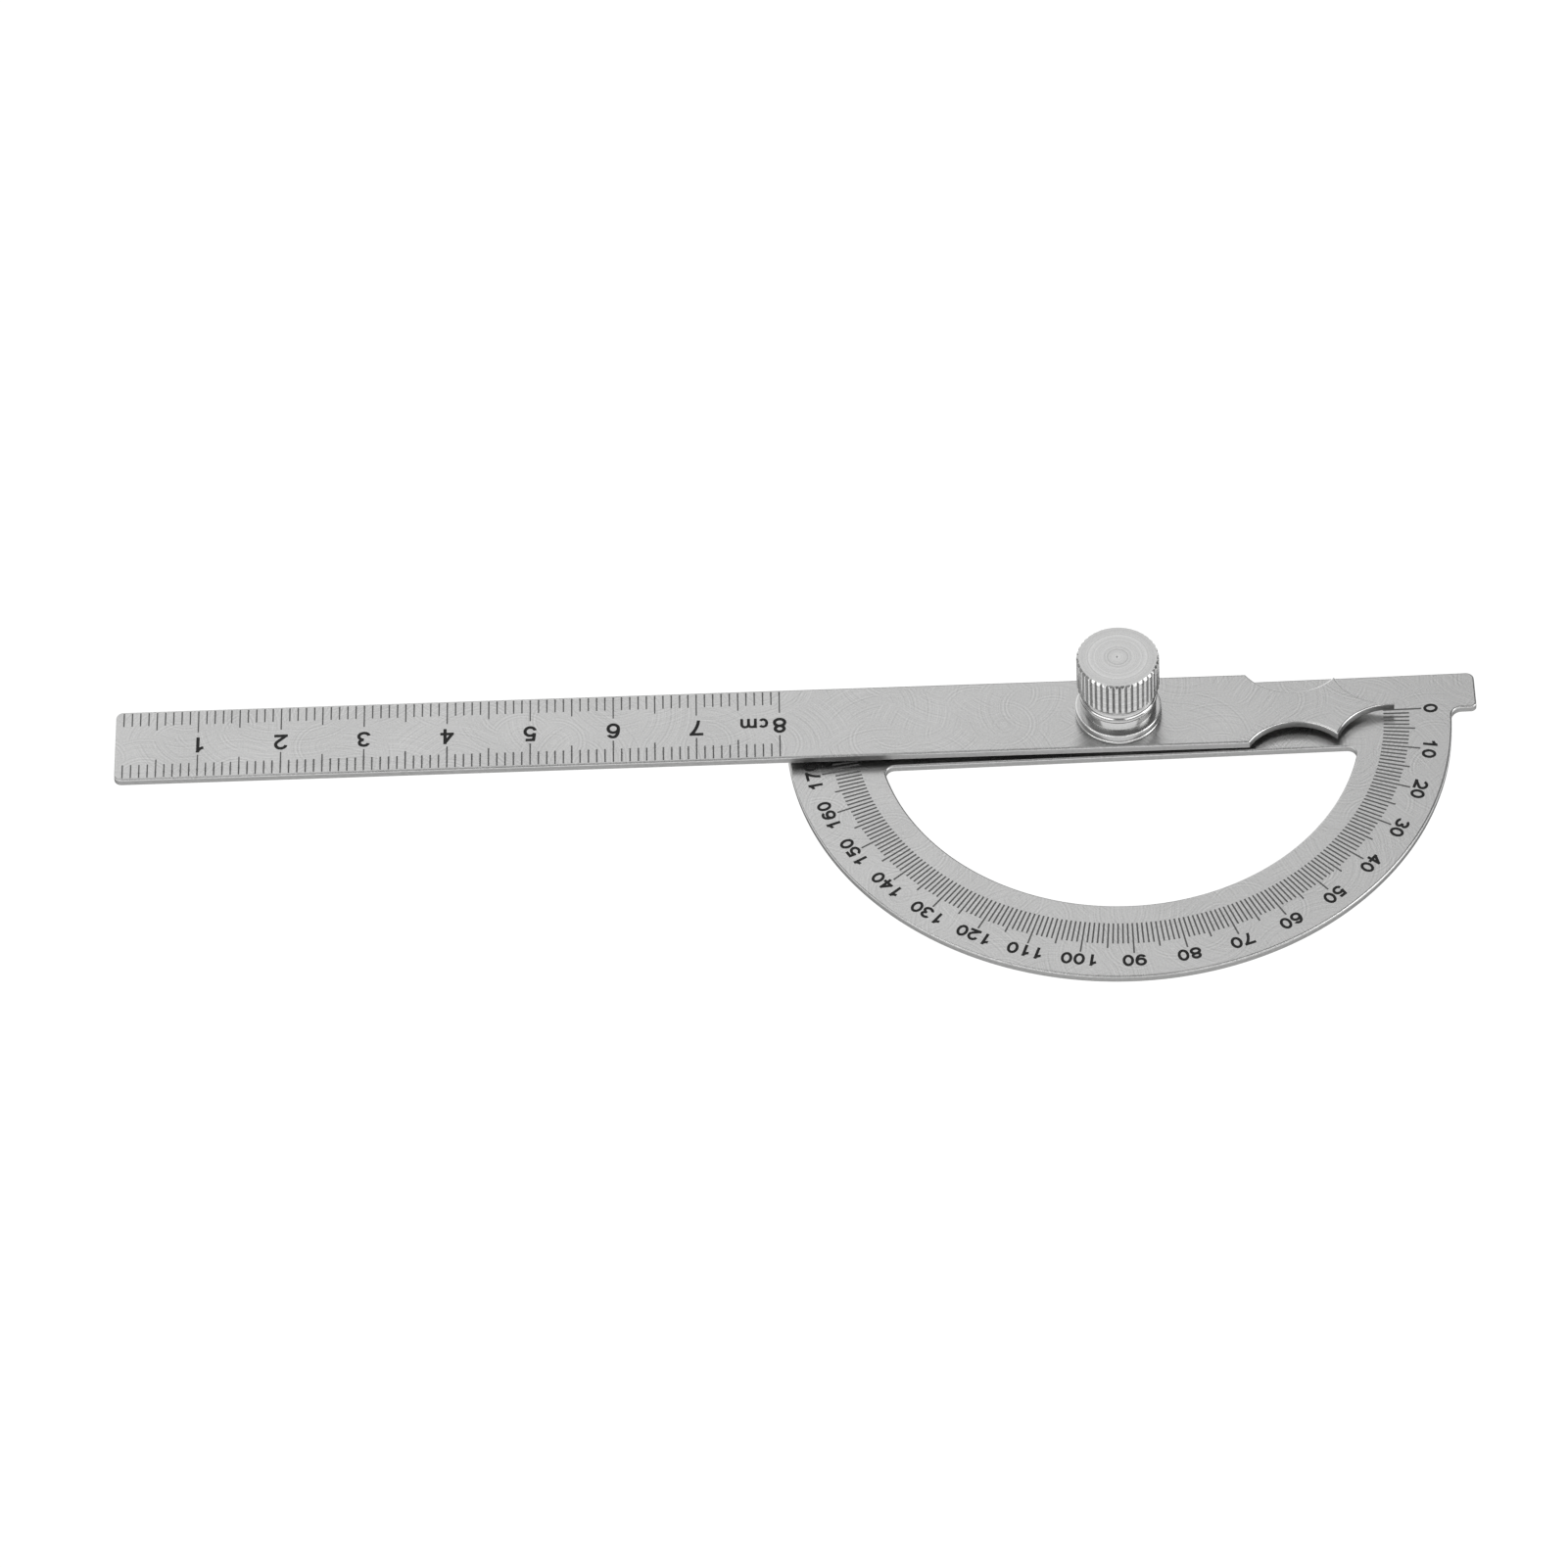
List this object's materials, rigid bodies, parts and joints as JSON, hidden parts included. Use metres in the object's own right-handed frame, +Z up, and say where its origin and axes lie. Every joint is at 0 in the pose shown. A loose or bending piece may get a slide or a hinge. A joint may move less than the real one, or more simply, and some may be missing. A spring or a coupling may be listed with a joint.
{
  "type": "protractor",
  "caption": "Half-round steel protractor with degree marks, a swinging rule arm with a scalloped pointer, and a knurled thumb nut that clamps the pivot.",
  "frame": {"origin": "on the pivot axis, at the flat underside of the scale plate", "axes": "+Z up through the pivot; +X along the base bar towards the zero mark; -Y towards the ninety mark"},
  "size_m": [0.1639, 0.0471, 0.0127],
  "materials": {
    "satin_steel": "satin stainless steel with faint swirl marks",
    "turned_steel": "turned and polished",
    "etched_line": "dark etched lines",
    "etched_numeral": "black etched numerals"
  },
  "bodies": {
    "plate": {"protractor_plate": "satin_steel", "degree_graduations": "etched_line", "degree_numerals": "etched_numeral", "pivot_stud": "turned_steel", "spacer_washer": "turned_steel"},
    "arm": {"ruler_arm": "satin_steel", "ruler_graduations": "etched_line", "ruler_numerals": "etched_numeral", "ruler_unit_mark": "etched_numeral"},
    "washer": {"flat_washer": "turned_steel"},
    "nut": {"thumb_nut": "turned_steel"}
  },
  "joints": [
    {"name": "arm_swing", "type": "hinge", "parent": "plate", "child": "arm", "pos_m": [0, 0, 0.0022], "axis": [0, 0, -1], "continuous": true},
    {"name": "nut_lift", "type": "slide", "parent": "plate", "child": "washer", "axis": [0, 0, 1], "range_m": [0, 0.0035]},
    {"name": "nut_turn", "type": "hinge", "parent": "washer", "child": "nut", "pos_m": [0, 0, 0.008], "axis": [0, 0, 1], "range_deg": [0, 1800]}
  ],
  "couplings": [
    {"joint": "nut_turn", "follows": "nut_lift", "rad_per_m": 8976}
  ]
}
